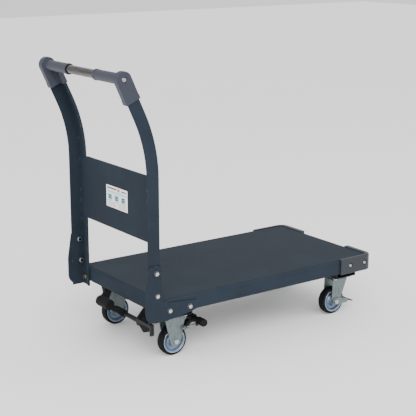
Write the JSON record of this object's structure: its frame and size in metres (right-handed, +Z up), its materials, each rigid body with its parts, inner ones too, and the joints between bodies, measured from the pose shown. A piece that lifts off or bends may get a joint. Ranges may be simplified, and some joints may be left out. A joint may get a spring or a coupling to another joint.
{
  "type": "folding platform cart",
  "caption": "Steel platform cart with a push handle that folds over the deck, fixed rear casters, swivel front casters with stoppers, a foot pedal and a brake bar.",
  "frame": {"origin": "on the floor, under the middle of the whole cart's length and width", "axes": "+X towards the front of the deck, away from the handle; +Y to the left seen from behind the handle; +Z up"},
  "size_m": [1.0616, 0.523, 0.9555],
  "materials": {
    "slate_paint": "satin slate-blue powder coat",
    "black_paint": "satin black paint",
    "zinc_plate": "dull galvanised sheet",
    "bright_zinc": "bright zinc plate",
    "yellow_zinc": "yellow passivated zinc",
    "spring_steel": "plain spring steel",
    "chrome_tube": "polished chrome",
    "grey_plastic": "matt moulded, dark grey",
    "black_rubber": "matt",
    "label_film": null,
    "tyre_rubber": "matt black solid rubber",
    "rim_steel": "blue-white zinc plate",
    "bearing_bronze": "sintered bronze"
  },
  "bodies": {
    "platform": {"deck_shell": "slate_paint", "front_crossmember": "black_paint", "rear_crossmember": "black_paint", "deck_ribs": "black_paint", "caster_bolts": "bright_zinc", "rear_fork_left": "zinc_plate", "rear_fork_right": "zinc_plate", "rear_axle_bolts": "bright_zinc", "swivel_plates": "zinc_plate", "kingpins": "zinc_plate", "pivot_bolts": "bright_zinc", "bracket_bolts": "bright_zinc", "foot_bracket_left": "slate_paint", "foot_bracket_right": "slate_paint", "bumper_left": "grey_plastic", "bumper_right": "grey_plastic", "bumper_screws": "bright_zinc", "pedal_hangers": "black_paint", "brake_hangers": "black_paint"},
    "handle": {"post_left": "slate_paint", "post_right": "slate_paint", "handle_tube": "chrome_tube", "handle_bolts": "bright_zinc", "elbow_cover_left": "grey_plastic", "elbow_cover_right": "grey_plastic", "back_panel": "slate_paint", "label_plate": "label_film", "panel_rivets": "zinc_plate", "stop_bolts": "bright_zinc", "stop_pads": "yellow_zinc"},
    "pedal": {"pedal_shaft": "black_paint", "pedal_plate": "black_paint", "pedal_grip": "black_rubber", "latch_dog": "black_paint", "pedal_spring": "spring_steel"},
    "brake": {"brake_bar": "black_paint", "brake_shoes": "black_paint", "brake_grips": "black_rubber", "brake_springs": "spring_steel"},
    "fork_left": {"front_fork_left": "zinc_plate", "front_axle_bolt_left": "bright_zinc"},
    "stopper_left": {"stopper_lever_left": "zinc_plate", "stopper_pedal_left": "black_paint"},
    "wheel_rear_left": {"tyre_rear_left": "tyre_rubber", "wheel_rim_rear_left": "rim_steel", "wheel_bearing_rear_left": "bearing_bronze"},
    "wheel_front_left": {"tyre_front_left": "tyre_rubber", "wheel_rim_front_left": "rim_steel", "wheel_bearing_front_left": "bearing_bronze"},
    "fork_right": {"front_fork_right": "zinc_plate", "front_axle_bolt_right": "bright_zinc"},
    "stopper_right": {"stopper_lever_right": "zinc_plate", "stopper_pedal_right": "black_paint"},
    "wheel_rear_right": {"tyre_rear_right": "tyre_rubber", "wheel_rim_rear_right": "rim_steel", "wheel_bearing_rear_right": "bearing_bronze"},
    "wheel_front_right": {"tyre_front_right": "tyre_rubber", "wheel_rim_front_right": "rim_steel", "wheel_bearing_front_right": "bearing_bronze"}
  },
  "joints": [
    {"name": "handle_fold", "type": "hinge", "parent": "platform", "child": "handle", "pos_m": [-0.4012, 0, 0.2395], "axis": [0, 1, 0], "range_deg": [0, 90]},
    {"name": "pedal_press", "type": "hinge", "parent": "platform", "child": "pedal", "pos_m": [-0.3852, 0, 0.113], "axis": [0, -1, 0], "range_deg": [0, 15], "stiffness_Nm_per_rad": 3, "springref_deg": -22.92},
    {"name": "brake_press", "type": "hinge", "parent": "platform", "child": "brake", "pos_m": [-0.2432, 0, 0.138], "axis": [0, 1, 0], "range_deg": [0, 6.5], "stiffness_Nm_per_rad": 4, "springref_deg": -20.05},
    {"name": "caster_swivel_left", "type": "hinge", "parent": "platform", "child": "fork_left", "pos_m": [0.4208, 0.182, 0.132], "axis": [0, 0, 1], "continuous": true},
    {"name": "stopper_press_left", "type": "hinge", "parent": "fork_left", "child": "stopper_left", "pos_m": [0.3988, 0.182, 0.05], "axis": [0, 1, 0], "range_deg": [0, 12]},
    {"name": "wheel_spin_rear_left", "type": "hinge", "parent": "platform", "child": "wheel_rear_left", "pos_m": [-0.3002, 0.182, 0.05], "axis": [0, 1, 0], "continuous": true},
    {"name": "wheel_spin_front_left", "type": "hinge", "parent": "fork_left", "child": "wheel_front_left", "pos_m": [0.3988, 0.182, 0.05], "axis": [0, 1, 0], "continuous": true},
    {"name": "caster_swivel_right", "type": "hinge", "parent": "platform", "child": "fork_right", "pos_m": [0.4208, -0.182, 0.132], "axis": [0, 0, 1], "continuous": true},
    {"name": "stopper_press_right", "type": "hinge", "parent": "fork_right", "child": "stopper_right", "pos_m": [0.3988, -0.182, 0.05], "axis": [0, 1, 0], "range_deg": [0, 12]},
    {"name": "wheel_spin_rear_right", "type": "hinge", "parent": "platform", "child": "wheel_rear_right", "pos_m": [-0.3002, -0.182, 0.05], "axis": [0, 1, 0], "continuous": true},
    {"name": "wheel_spin_front_right", "type": "hinge", "parent": "fork_right", "child": "wheel_front_right", "pos_m": [0.3988, -0.182, 0.05], "axis": [0, 1, 0], "continuous": true}
  ]
}
